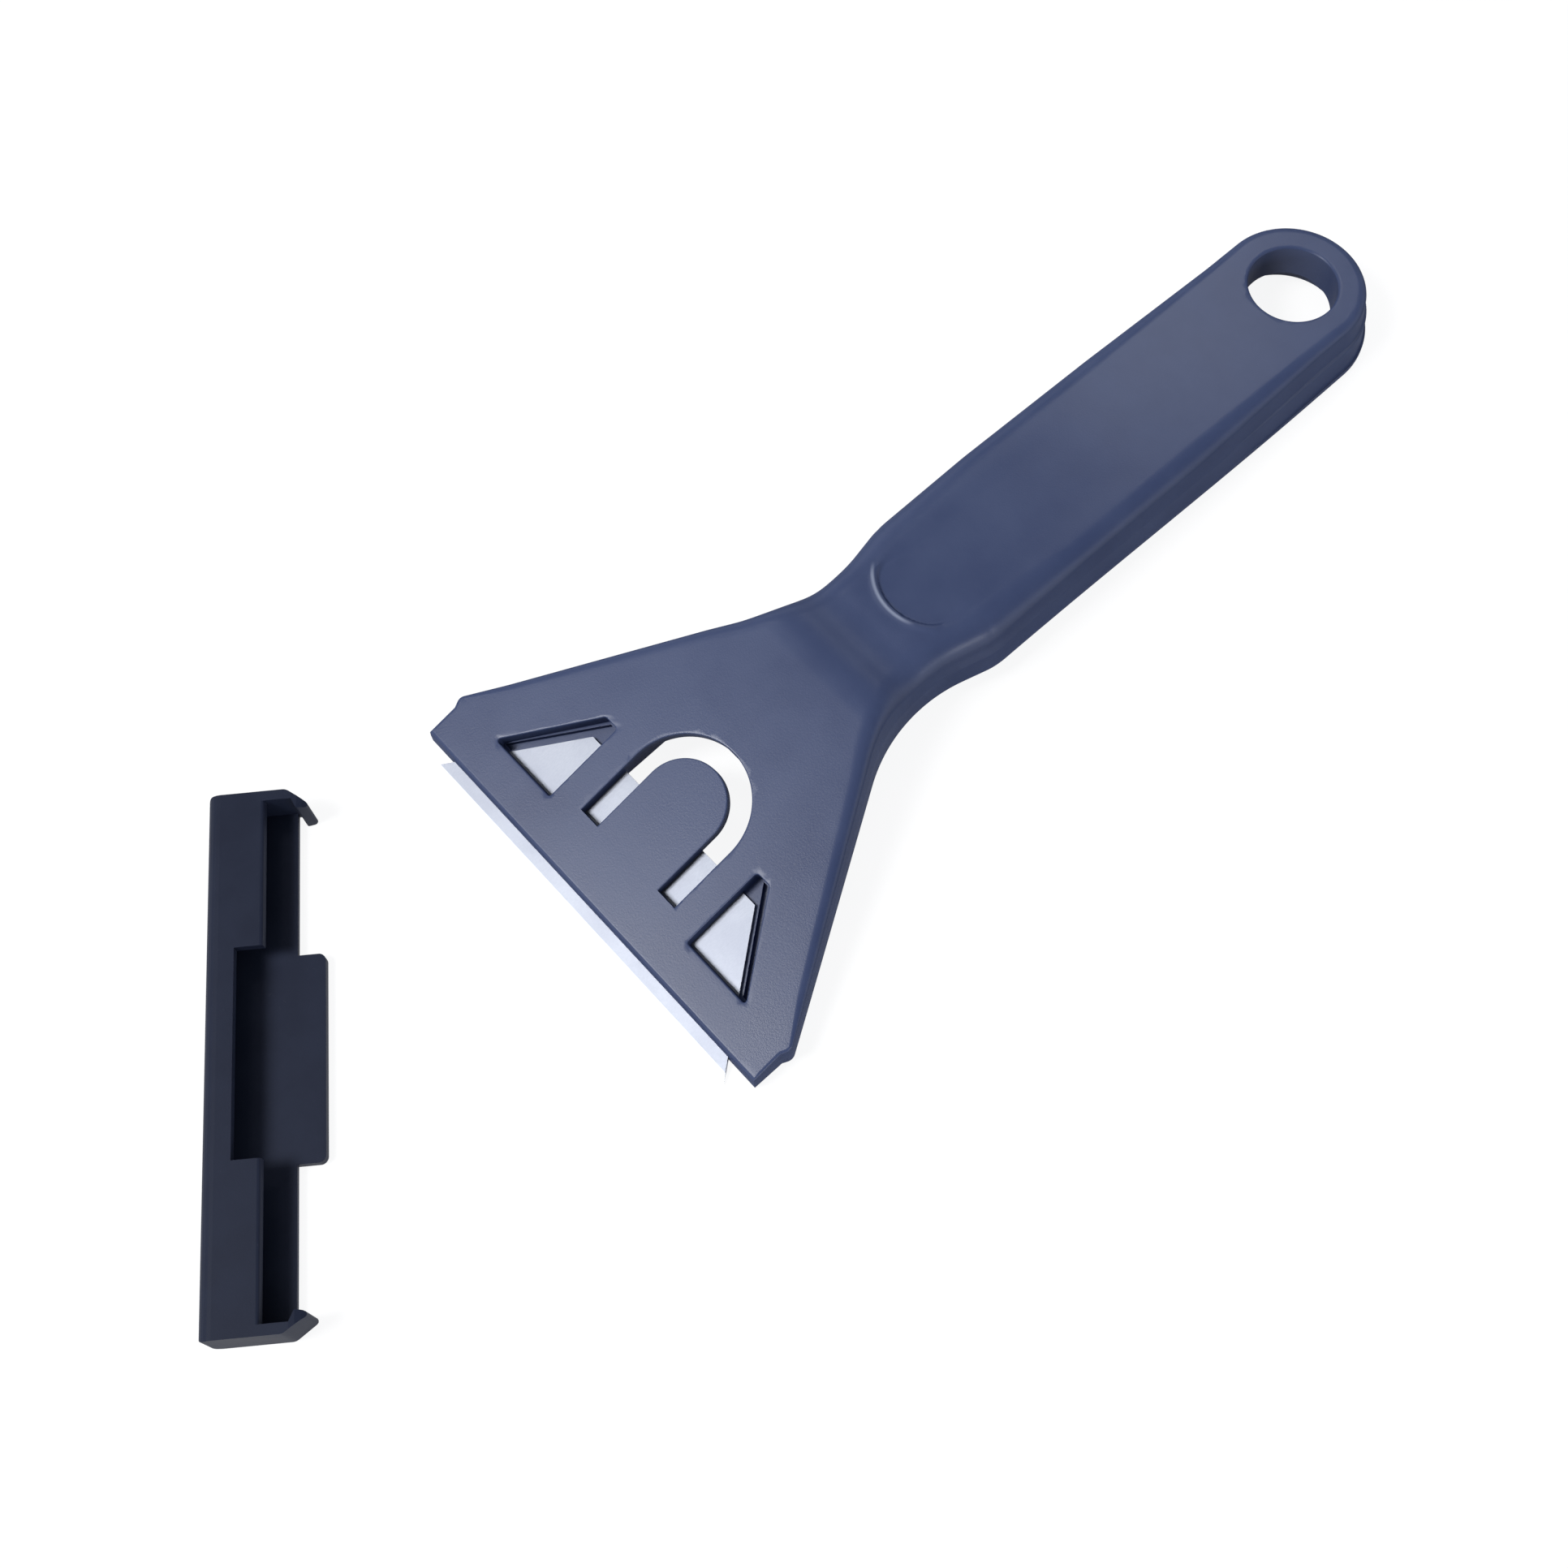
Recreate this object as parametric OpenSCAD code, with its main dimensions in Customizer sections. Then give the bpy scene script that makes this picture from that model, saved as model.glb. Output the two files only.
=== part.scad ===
// Razor blade scraper with a one-piece moulded holder, a replaceable trapezoid blade and a clip-on blade cover.
// +X runs from the handle to the blade, +Y to the left and +Z up. The origin lies on the axis of the
// hanging hole, in the plane that the scraper rests on. The cover lies taken off, beside the blade.

/* [Handle] */
// Distance from the hanging hole's axis to the head's front edge
front_x = 135.4; // [126:0.2:145]
// Width of the handle over its lower rim
handle_w = 24.7; // [22.5:0.1:27]
// Height of the handle at the hanging hole
handle_h = 10.2; // [9.6:0.1:12]
// Rise of the handle's top from the hanging hole to the front end of the thumb panel
handle_rise = 3.1; // [2:0.1:4]
// Height of the arch under the neck, which lifts the middle of the scraper off the resting plane
arch_h = 3.7; // [0:0.1:4.5]
// Distance from the hanging hole's axis to the highest place of that arch
arch_x = 75; // [60:1:85]
// Rounding of the top edge round the tip
tip_edge_r = 1.4; // [1:0.1:2]
// Rounding of the handle's long top edges in the middle of the handle
handle_edge_r = 2.8; // [1.8:0.1:3.2]
// Amount by which the side of the handle leans in between its lower rim and its rounded top edge
skirt_in = 0.7; // [0.3:0.1:1]
// Depth of the step under the top edge at the tip, which dies out along the handle
step_in = 0.35; // [0.1:0.05:0.6]
// Diameter of the hanging hole
hole_d = 13; // [10:0.5:14]
// Chamfer at the upper end of the hanging hole
hole_chamfer = 0.4; // [0.2:0.1:0.6]
// Distance from the hanging hole's axis to the front end of the thumb panel
panel_front_x = 79.8; // [75:0.2:81]
// Distance from the hanging hole's axis to the place where the thumb panel runs out into the handle's top
panel_rear_x = 40; // [30:1:50]
// Width of the thumb panel
panel_w = 16.4; // [14:0.2:18]
// Depth of the thumb panel at its round front end
panel_depth = 0.5; // [0.3:0.1:0.8]

/* [Neck] */
// Distance from the hanging hole's axis to the bulge where the handle ends
bulge_x = 72; // [66:0.5:74]
// Amount by which the bulge stands proud of the handle on each side
bulge_proud = 0.35; // [0.1:0.05:0.8]
// Radius in plan of the bulge
bulge_r = 12; // [8:1:16]
// Distance from the hanging hole's axis to the point where the lines of both flanks of the neck meet
throat_x = 87.3; // [85:0.1:89]
// Width between the two points where the lines of the flanks meet
throat_w = 16.6; // [15:0.1:18]
// Radius in plan of the hollow flanks of the neck
throat_r = 24; // [18:1:26]
// Rounding of the top edges at the bulge
bulge_edge_r = 4.6; // [3:0.1:5]
// Rounding of the neck's top edges at its narrowest place
neck_edge_r = 3.8; // [2.6:0.1:4]
// Distance from the hanging hole's axis to the valley across the neck
valley_x = 85.4; // [84.5:0.1:86]
// Depth of that valley below the handle's top line
valley_depth = 0.6; // [0.2:0.1:1]
// Rounding of the valley and of the handle's top where it drops into it
valley_r = 10; // [7:0.5:12]
// Distance from the hanging hole's axis to the crest where the head's plate begins
crest_x = 91.4; // [91:0.1:92]
// Rounding of the crest
crest_r = 4; // [2:0.5:5]

/* [Head] */
// Width of the head along its front edge
front_w = 67; // [65:0.2:68]
// Width over the shoulders that the cover's hooks snap behind
shoulder_w = 68.4; // [67:0.2:70]
// Distance from the front edge back to the shoulders
shoulder_back = 6.1; // [5.6:0.1:7]
// Distance from the front edge back to the step in front of the shoulders
notch_back = 4.7; // [4:0.1:5]
// Rounding in plan of the shoulders
shoulder_r = 1.4; // [0.8:0.1:2]
// Height of the front edge above the resting plane
front_h = 3.1; // [3:0.1:4]
// Angle by which the head's plate slopes down towards the blade
head_tilt = 14.8; // [13:0.1:15.2]
// Thickness of the head's plate
plate_t = 1.8; // [1.6:0.1:2]
// Rounding of the head's top edges behind the shoulders
head_edge_r = 2; // [1.2:0.1:2.6]
// Rounding of the head's top edges at the front
front_edge_r = 1; // [0.4:0.1:1.1]

/* [Windows] */
// Distance along the plate from the front edge to the windows
window_back = 5.9; // [5:0.1:6.5]
// Length of the windows along the plate
window_l = 12.9; // [11:0.1:13.5]
// Distance from the middle line to the inner side of the windows
window_in = 14.1; // [13.6:0.1:15]
// Width of the windows at their front
window_w = 11.5; // [9:0.1:12]
// Width of the windows at their blunted rear end
window_tip_w = 2.4; // [1:0.1:3]

/* [Tongue] */
// Width of the spring tongue
tongue_w = 12.4; // [11:0.1:13]
// Width of the slot that cuts the tongue free
slot_w = 3.3; // [2.4:0.1:3.6]
// Distance along the plate from the front edge to the tongue's root
root_back = 7.8; // [7:0.1:9]
// Distance along the plate from the front edge to the centre of the tongue's round end
arc_back = 18.1; // [17:0.1:19]
// Gap between the tongue's round root and the plate
root_gap = 0.03; // [0.02:0.01:0.08]
// Diameter of the nub that sits in the blade's notch
nub_d = 2.6; // [2:0.1:2.8]

/* [Blade] */
// Length of the blade along its cutting edge
blade_l = 61; // [58:0.5:62]
// Length of the blade along its back
blade_back_l = 33; // [30:0.5:35]
// Width of the blade from its cutting edge to its back
blade_w = 19; // [18.4:0.1:19.2]
// Thickness of the blade
blade_t = 0.6; // [0.45:0.05:0.65]
// Length of blade that stands out of the head
blade_out = 3.4; // [3:0.1:3.6]
// Width of the ground bevels at the cutting edge
bevel_w = 1.1; // [0.6:0.1:2]
// Width of the notch in the blade's back
notch_w = 3.2; // [3:0.1:3.6]
// Depth of the notch in the blade's back
notch_depth = 3; // [2.6:0.1:3.4]
// Gap above the blade and below it
blade_gap = 0.05; // [0.03:0.01:0.1]
// Gap between the blade's ends and the ribs that place them
blade_side_gap = 0.2; // [0.1:0.05:0.4]

/* [Holder walls] */
// Thickness of the holder's outer walls
wall = 1.8; // [1.6:0.1:2]
// Thickness of the ribs under the holder
rib_t = 1.4; // [1.2:0.1:1.8]
// Thickness of the ribs that place the blade's ends
end_rib_t = 2.2; // [2:0.1:2.6]
// Thickness of the shelves that carry the blade's ends
shelf_t = 1; // [0.8:0.1:1.2]
// Thickness left over the hollows in the handle
roof_t = 2; // [1.6:0.1:2.2]
// Number of cross ribs in the handle
rib_count = 4; // [2:1:6]

/* [Cover] */
// Thickness of the cover's walls
cover_wall = 1.4; // [1.2:0.1:1.6]
// Depth of the cover over its upper leg
upper_leg = 7.8; // [7.6:0.1:8.6]
// Depth of the cover over its lower leg
lower_leg = 11; // [10.4:0.1:11.8]
// Depth of the cover over its finger tab
tab_leg = 14.7; // [14:0.1:16]
// Width of the finger tab
tab_w = 28; // [24:0.5:32]
// Depth left of the upper leg over the finger tab
cut_leg = 4; // [3.6:0.1:5]
// Depth of the cover over its hooks
hook_leg = 14.1; // [13.8:0.1:15]
// Length of a hook's beak along the cover
beak_l = 2.5; // [2.2:0.1:2.8]
// Rounding along the cover's back
cover_back_r = 1.9; // [1:0.1:2.2]
// Rounding of the tab's corners
tab_r = 1; // [0.5:0.1:2]
// Gap between the cover and the head's shoulders, on each side
cover_side_gap = 0.2; // [0.1:0.05:0.4]
// Gap between the cover's upper leg and the head's plate
cover_top_gap = 0.3; // [0.1:0.05:0.4]
// Gap between the blade's edge and the cover's back
cover_edge_gap = 0.4; // [0.2:0.05:0.8]
// Place of the cover's back, ahead of the head's front edge
cover_ahead = 50; // [45:0.5:60]
// Place of the cover's back, to the right of the middle line
cover_right = 16; // [10:0.5:25]
// Angle of the cover's long side to the handle's middle line
cover_turn = 53; // [45:1:60]

/* [Hidden] */

$fn = 48;
over = 1;
deep = 40;
arc_steps = 12;
edge_steps = 5;

// Longest stretch of the plan without a point, which keeps the arch round
plan_pitch = 6;

// Draft of the outer walls, and the top edge's height as a share of its width
draft_share = 0.02;
edge_share = 0.85;

// Heights on the handle's side, as shares of it: the lower rim's top, the skirt's foot, its top and the step's top
rim_share = 0.11;
foot_share = 0.13;
skirt_share = 0.6;
step_share = 0.64;

tip_r = handle_w / 2;
hole_r = hole_d / 2;
handle_slope = handle_rise / panel_front_x;
step_end_x = hole_r + handle_w;
bulge_half = tip_r + bulge_proud;
head_slope = tan(head_tilt);

// Seats in the head, as heights from the plate's top face, measured square to it
blade_top = -plate_t - blade_gap;
blade_low = blade_top - blade_t;
shelf_top = blade_low - blade_gap;
shelf_low = shelf_top - shelf_t;

// Places along the plate, counted backwards from its front edge
blade_back = blade_w - blade_out;
blade_slope = (blade_l - blade_back_l) / 2 / blade_w;
arch_r = tongue_w / 2 + slot_w;
well_half = arch_r + rib_t;
well_back = arc_back + arch_r + rib_t + rib_t / 2;
beam_half = well_half + rib_t;
shelf_back = window_back + window_l + rib_t / 2;
cover_reach = cover_wall + cover_edge_gap + blade_out;

// Height of the valley's bottom, and place of the round front end of the thumb panel
valley_h = handle_top(valley_x) - valley_depth;
panel_r = panel_w / 2;
panel_round_x = panel_front_x - panel_r;

function handle_top(x) = handle_h + handle_slope * x;

// Height of the underside, which is flat round the hanging hole and touches down again at the front edge
function arch(x) =
    let (raw = x < arch_x ? (x - hole_r) / (arch_x - hole_r) : (front_x - x) / (front_x - arch_x))
    let (k = min(max(raw, 0), 1))
    arch_h * k * k * (3 - 2 * k);
function head_top(x) = front_h + (front_x - x) * head_slope;

function unit(v) = v / norm(v);

// Points of an arc of radius r that rounds the corner b between the points a and c
function corner_arc(a, b, c, r, steps) =
    let (ta = unit(a - b))
    let (tc = unit(c - b))
    let (half = acos(ta * tc) / 2)
    let (centre = b + unit(ta + tc) * r / sin(half))
    let (from = b + ta * r / tan(half) - centre)
    let (to = b + tc * r / tan(half) - centre)
    let (start = atan2(from[1], from[0]))
    let (raw = atan2(to[1], to[0]) - start)
    let (turn = raw > 180 ? raw - 360 : raw < -180 ? raw + 360 : raw)
    [for (i = [0 : steps]) centre + r * [cos(start + turn * i / steps), sin(start + turn * i / steps)]];

// A line through corners given as [x, y, radius, steps], each rounded; the two ends stay as they are
function rounded_line(p) = [
    for (i = [0 : len(p) - 1])
        let (here = [p[i][0], p[i][1]])
        if (i == 0 || i == len(p) - 1 || p[i][2] == 0)
            here
        else
            each corner_arc([p[i - 1][0], p[i - 1][1]], here, [p[i + 1][0], p[i + 1][1]], p[i][2], p[i][3])
];

// The same line with points put into every stretch that is longer than the given pitch
function split_line(p, pitch) = [
    for (i = [0 : len(p) - 2])
        let (count = ceil(norm(p[i + 1] - p[i]) / pitch))
        for (k = [0 : count - 1])
            p[i] + (p[i + 1] - p[i]) * k / count
];

// The plan of the left half over the lower rim, from the tip to the front corner
tip_arc = [for (i = [0 : arc_steps]) tip_r * [-cos(90 * i / arc_steps), sin(90 * i / arc_steps)]];
flank_line = rounded_line([
    [0, tip_r, 0, 0],
    [bulge_x, bulge_half, bulge_r, 4],
    [throat_x, throat_w / 2, throat_r, arc_steps],
    [front_x - shoulder_back, shoulder_w / 2, shoulder_r, 4],
    [front_x - notch_back, front_w / 2, 0, 0],
    [front_x, front_w / 2, 0, 0],
    [front_x, 0, 0, 0]
]);
corner_at = len(flank_line) - 2;
side_points = split_line([for (i = [0 : corner_at]) flank_line[i]], plan_pitch);
plan = concat(tip_arc, [for (i = [1 : len(side_points) - 1]) side_points[i]], [flank_line[corner_at]]);
last = len(plan) - 1;

function half_w(x) = lookup(x, plan);

// The line of the top, seen from the side
top_line = rounded_line([
    [-handle_w, handle_top(-handle_w), 0, 0],
    [panel_front_x + rib_t, handle_top(panel_front_x + rib_t), valley_r, 3],
    [valley_x, valley_h, valley_r, 6],
    [crest_x, head_top(crest_x), crest_r, 5],
    [front_x + handle_w, head_top(front_x + handle_w), 0, 0]
]);

function top_h(x) = lookup(x, top_line);

// Width of the rounded top edge along the holder
function edge_r(x) = lookup(x, [
    [0, tip_edge_r],
    [step_end_x, handle_edge_r],
    [panel_round_x - panel_r * 2, handle_edge_r],
    [bulge_x, bulge_edge_r],
    [throat_x - rib_t * 2, neck_edge_r],
    [throat_x + throat_r / 2, head_edge_r],
    [front_x - shoulder_back * 2, (head_edge_r + front_edge_r) / 2],
    [front_x - shoulder_back, front_edge_r]
]);

// How much of the side's lean, and how much of the step at the tip, is left along the holder
function fade(x) = lookup(x, [[bulge_x, 1], [throat_x, 0]]);
function step_fade(x) = lookup(x, [[hole_r, 1], [step_end_x, 0]]);
function side_lean(x, skirt, step) = fade(x) * skirt + step_fade(x) * step;

// Outward direction at point i of the plan, as long as its mitre needs
function mitre(i) =
    let (before = i == 0 ? [plan[1][0], -plan[1][1]] : plan[i - 1])
    let (after = i == last ? [plan[i][0], -plan[i][1]] : plan[i + 1])
    let (e0 = unit(plan[i] - before))
    let (e1 = unit(after - plan[i]))
    let (n0 = [-e0[1], e0[0]])
    let (n1 = [-e1[1], e1[0]])
    (n0 + n1) / (1 + n0 * n1);

// Point i of the plan, moved inwards by d
function inset(i, d) = plan[i] - mitre(i) * d;

// One closed ring of the skin: its left half from the tip to the front, then its right half back
function ring(half) = concat(half, [for (i = [last : -1 : 1]) [half[i][0], -half[i][1], half[i][2]]]);

function wall_ring(level_share, skirt, step) = ring([
    for (i = [0 : last])
        let (p = inset(i, side_lean(plan[i][0], skirt, step)))
        let (low = arch(p[0]))
        [p[0], p[1], low + (top_h(p[0]) - edge_r(plan[i][0]) * edge_share - low) * level_share]
]);

function edge_ring(angle) = ring([
    for (i = [0 : last])
        let (r = edge_r(plan[i][0]))
        let (lean = top_h(plan[i][0]) * draft_share)
        let (side = side_lean(plan[i][0], skirt_in, step_in * 2))
        let (p = inset(i, side + lean + r * (1 - cos(angle))))
        [p[0], p[1], top_h(p[0]) - r * edge_share * (1 - sin(angle))]
]);

// The outer skin of the holder, lofted through its rings from the resting plane to the top
module skin() {
    rings = concat(
        [
            wall_ring(0, 0, 0),
            wall_ring(rim_share, 0, 0),
            wall_ring(foot_share, 0, step_in),
            wall_ring(skirt_share, skirt_in * skirt_share, step_in),
            wall_ring(step_share, skirt_in * step_share, step_in * 2)
        ],
        [for (k = [0 : edge_steps]) edge_ring(90 * k / edge_steps)]
    );
    size = 2 * last + 1;
    top = (len(rings) - 1) * size;
    sides = [
        for (k = [0 : len(rings) - 2])
            for (j = [0 : size - 1])
                let (a = k * size + j)
                let (b = k * size + (j + 1) % size)
                each [[a, b, b + size], [a, b + size, a + size]]
    ];
    low_cap = [for (i = [1 : last - 1]) [size - i, size - i - 1, i + 1, i]];
    top_cap = [for (i = [1 : last - 1]) [top + i, top + i + 1, top + size - i - 1, top + size - i]];
    tips = [[size - 1, 1, 0], [top, top + 1, top + size - 1]];
    polyhedron(points = [for (r = rings) each r], faces = concat(sides, low_cap, top_cap, tips), convexity = 6);
}

// Puts its children in the plate's own frame: origin on the front edge, -X back along the plate, +Z out of it
module on_plate() {
    translate([front_x, 0, front_h])
        rotate([0, head_tilt, 0])
            children();
}

// Its child, and the same child on the other side of the middle line
module both_sides() {
    children();
    mirror([0, 1, 0])
        children();
}

// X of a place on the plate's top, s behind the front edge
function plate_x(s) = front_x - s * cos(head_tilt);

// The blade's half width at a place s behind the front edge
function blade_half(s) = blade_l / 2 - (blade_out + s) * blade_slope;

// All of the space below a height in the plate's frame, down past the resting plane
module below_plate(height) {
    on_plate()
        translate([-front_x, -front_w, height - deep])
            cube([front_x + deep, front_w * 2, deep]);
}

// The space under a plan outline, as high as the given height in the plate's frame
module plate_hollow(outline, height) {
    intersection() {
        translate([0, 0, -over])
            linear_extrude(deep)
                polygon(outline);
        below_plate(height);
    }
}

// The triangular windows, which let the shelves below them be moulded
module window() {
    on_plate()
        translate([0, 0, shelf_top])
            linear_extrude(deep)
                polygon([
                    [-window_back, window_in],
                    [-window_back, window_in + window_w],
                    [-window_back - window_l, window_in + window_tip_w],
                    [-window_back - window_l, window_in]
                ]);
}

// A tongue's outline: straight sides from the root, and a round end
module tongue_outline(half, back) {
    translate([-arc_back, 0])
        circle(r = half);
    translate([-arc_back, -half])
        square([arc_back - back, half * 2]);
}

// The opening that the tongue and its slot take from the plate, with the round seat of the tongue's root
module tongue_opening() {
    on_plate() {
        translate([0, 0, -plate_t - over])
            linear_extrude(plate_t + over * 2)
                tongue_outline(arch_r, root_back);
        translate([-root_back, tongue_w / 2 + root_gap, -plate_t / 2])
            rotate([90, 0, 0])
                cylinder(r = plate_t / 2 + root_gap, h = tongue_w + root_gap * 2);
    }
}

// The flat slot that the blade slides into from the front
module blade_slot() {
    side = blade_side_gap / cos(atan(blade_slope));
    rear = blade_back + blade_side_gap;
    on_plate()
        translate([0, 0, shelf_top])
            linear_extrude(blade_t + blade_gap * 2)
                polygon([
                    [blade_out, blade_half(-blade_out) + side],
                    [-rear, blade_half(rear) + side],
                    [-rear, -blade_half(rear) - side],
                    [blade_out, -blade_half(-blade_out) - side]
                ]);
}

// The open well under the tongue, from the front edge to behind the slot's arch
module well() {
    plate_hollow([
        [front_x + over, well_half],
        [plate_x(well_back), well_half],
        [plate_x(well_back), -well_half],
        [front_x + over, -well_half]
    ], -plate_t);
}

// The hollow under one shelf
module shelf_hollow() {
    side = blade_side_gap / cos(atan(blade_slope));
    front = shelf_t * 2;
    rear = shelf_back - rib_t;
    plate_hollow([
        [plate_x(front), beam_half],
        [plate_x(front), blade_half(front) + side],
        [plate_x(rear), blade_half(rear) + side],
        [plate_x(rear), beam_half]
    ], shelf_low);
}

// The hollow between the rib that places the blade's end and the holder's outer wall
module flank_hollow() {
    side = (blade_side_gap + end_rib_t) / cos(atan(blade_slope));
    flank_angle = atan((shoulder_w - throat_w) / 2 / (front_x - shoulder_back - throat_x));
    wall_y = wall / cos(flank_angle);
    rear_x = front_x - shoulder_back - (shoulder_w / 2 - wall_y - beam_half - rib_t) / tan(flank_angle);
    front = front_x - wall;
    plate_hollow([
        [front, blade_half(wall) + side],
        [front, front_w / 2 - wall],
        [front_x - shoulder_back, front_w / 2 - wall],
        [rear_x, beam_half + rib_t],
        [rear_x, beam_half],
        [plate_x(shelf_back), beam_half],
        [plate_x(shelf_back), blade_half(shelf_back) + side]
    ], -plate_t);
}

// The hollow in the neck, behind the well
module neck_hollow() {
    front = plate_x(well_back) - rib_t;
    rear = panel_front_x + rib_t;
    span_share = [0, 0.2, 0.4, 0.6, 0.8, 1];
    half = [for (k = span_share)
        let (x = rear + (front - rear) * k)
        [x, min(half_w(x) - wall - skirt_in, well_half)]];
    translate([0, 0, -over])
        linear_extrude(over + valley_h - roof_t)
            polygon(concat(half, [for (i = [len(half) - 1 : -1 : 0]) [half[i][0], -half[i][1]]]));
}

// One hollow of the handle on the left of its middle rib, between two places along it
module handle_hollow(from_x, to_x) {
    side = tip_r - skirt_in - wall;
    drop = panel_depth + roof_t;
    intersection() {
        translate([from_x, rib_t / 2, -over])
            cube([to_x - from_x, side - rib_t / 2, deep]);
        translate([0, side, 0])
            rotate([90, 0, 0])
                linear_extrude(side)
                    polygon([
                        [from_x, -over],
                        [to_x, -over],
                        [to_x, handle_top(to_x) - drop],
                        [from_x, handle_top(from_x) - drop]
                    ]);
    }
}

// The round hollow between the hanging hole's tube and the wall of the tip
module tip_hollow() {
    tube_r = hole_r + wall;
    side = tip_r - skirt_in - step_in * 2 - wall;
    roof = handle_top(0) - roof_t;
    translate([0, 0, -over])
        difference() {
            union() {
                cylinder(r = side, h = roof + over);
                translate([0, -side, 0])
                    cube([tube_r + rib_t, side * 2, roof + over]);
            }
            translate([0, 0, -over])
                cylinder(r = tube_r, h = roof + over * 3);
            translate([-tip_r, -rib_t / 2, -over])
                cube([tip_r, rib_t, roof + over * 3]);
        }
}

// All hollows under the handle, in a row between the cross ribs
module handle_hollows() {
    start = hole_r + wall + rib_t * 2;
    end = panel_front_x - rib_t;
    pitch = (end - start + rib_t) / (rib_count + 1);
    tip_hollow();
    for (i = [0 : rib_count])
        both_sides()
            handle_hollow(start + pitch * i, start + pitch * (i + 1) - rib_t);
}

// The hanging hole with its chamfered upper end
module hanging_hole() {
    top = handle_top(0);
    translate([0, 0, -over])
        cylinder(r = hole_r, h = top + over * 2);
    translate([0, 0, top - hole_chamfer])
        cylinder(r1 = hole_r, r2 = hole_r + hole_chamfer + over, h = hole_chamfer + over);
}

// The shallow thumb panel, deepest at its round front end and running out towards the tip
module thumb_panel() {
    slope = handle_slope - panel_depth / (panel_front_x - panel_rear_x);
    length = panel_round_x - panel_rear_x + wall;
    translate([panel_rear_x, 0, handle_top(panel_rear_x)])
        rotate([0, -atan(slope), 0])
            linear_extrude(deep) {
                translate([panel_round_x - panel_rear_x, 0])
                    circle(r = panel_r, $fn = 72);
                translate([-wall, -panel_r])
                    square([length, panel_w]);
            }
}

module holder() {
    color("slategray")
        difference() {
            skin();
            hanging_hole();
            thumb_panel();
            handle_hollows();
            neck_hollow();
            well();
            blade_slot();
            tongue_opening();
            both_sides() {
                window();
                shelf_hollow();
                flank_hollow();
            }
        }
}

// The spring tongue that is cut free of the plate, with its round root and the nub that holds the blade
module tongue() {
    nub_back = blade_back - notch_depth + notch_w / 2;
    nub_low = blade_low - blade_gap * 5;
    color("lightslategray")
        on_plate() {
            translate([0, 0, -plate_t])
                linear_extrude(plate_t)
                    tongue_outline(tongue_w / 2, root_back);
            translate([-root_back, tongue_w / 2, -plate_t / 2])
                rotate([90, 0, 0])
                    cylinder(r = plate_t / 2, h = tongue_w);
            translate([-nub_back, 0, nub_low])
                cylinder(r = nub_d / 2, h = -nub_low - plate_t / 2);
        }
}

// The blade's outline, with its notch in the back
module blade_outline() {
    difference() {
        polygon([
            [blade_out, blade_l / 2],
            [-blade_back, blade_back_l / 2],
            [-blade_back, -blade_back_l / 2],
            [blade_out, -blade_l / 2]
        ]);
        translate([-blade_back + notch_depth - notch_w / 2, 0])
            circle(r = notch_w / 2);
        translate([-blade_back - over, -notch_w / 2])
            square([notch_depth - notch_w / 2 + over, notch_w]);
    }
}

// The trapezoid blade, ground from both faces to its cutting edge
module blade() {
    edge_t = blade_t / 12;
    mid = (blade_top + blade_low) / 2;
    color("lightsteelblue")
        on_plate()
            intersection() {
                translate([0, 0, blade_low])
                    linear_extrude(blade_t)
                        blade_outline();
                translate([0, blade_l / 2, 0])
                    rotate([90, 0, 0])
                        linear_extrude(blade_l)
                            polygon([
                                [-blade_back, blade_low],
                                [blade_out - bevel_w, blade_low],
                                [blade_out, mid - edge_t / 2],
                                [blade_out, mid + edge_t / 2],
                                [blade_out - bevel_w, blade_top],
                                [-blade_back, blade_top]
                            ]);
            }
}

// The cover: a channel on its longer leg, with closed ends, snap hooks and a finger tab
cover_gap = front_h + (upper_leg - cover_reach) * head_slope + cover_top_gap;
cover_h = cover_gap + cover_wall * 2;
cover_half = shoulder_w / 2 + cover_side_gap + cover_wall;

// Section of the channel, its back at zero and its opening towards +X
module cover_section() {
    outer = rounded_line([
        [lower_leg, cover_h / 2, 0, 0],
        [lower_leg, 0, cover_wall / 3, 3],
        [0, 0, cover_back_r, 6],
        [0, cover_h, cover_back_r, 6],
        [upper_leg, cover_h, cover_wall / 3, 3],
        [upper_leg, cover_h - cover_wall, 0, 0]
    ]);
    inner = rounded_line([
        [cover_wall + cover_wall, cover_h - cover_wall, 0, 0],
        [cover_wall, cover_h - cover_wall, cover_wall / 3, 3],
        [cover_wall, cover_wall, cover_wall / 3, 3],
        [lower_leg, cover_wall, 0, 0]
    ]);
    lower = [for (i = [1 : len(outer) - 1]) outer[i]];
    polygon(concat(lower, inner));
}

// One closed end with its hook, drawn in plan and as high as the channel
module cover_end() {
    latch = cover_reach + shoulder_back * cos(head_tilt) + cover_side_gap;
    intersection() {
        linear_extrude(cover_h)
            polygon(rounded_line([
                [cover_wall, cover_half - cover_wall, 0, 0],
                [0, cover_half - cover_wall, 0, 0],
                [0, cover_half, cover_wall / 2, 4],
                [latch - cover_wall / 2, cover_half, cover_wall, 4],
                [hook_leg, cover_half - beak_l, cover_wall / 3, 4],
                [latch + cover_wall / 2, cover_half - beak_l - cover_wall / 4, cover_wall / 5, 3],
                [latch, cover_half - cover_wall, 0, 0]
            ]));
        translate([0, cover_half + over, 0])
            rotate([90, 0, 0])
                linear_extrude(beak_l * 3)
                    polygon(rounded_line([
                        [hook_leg, cover_h / 2, 0, 0],
                        [hook_leg, 0, cover_wall / 3, 3],
                        [0, 0, cover_back_r, 6],
                        [0, cover_h, cover_back_r, 6],
                        [hook_leg, cover_h, cover_wall * 2, 6],
                        [hook_leg, cover_h / 2, 0, 0]
                    ]));
    }
}

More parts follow.
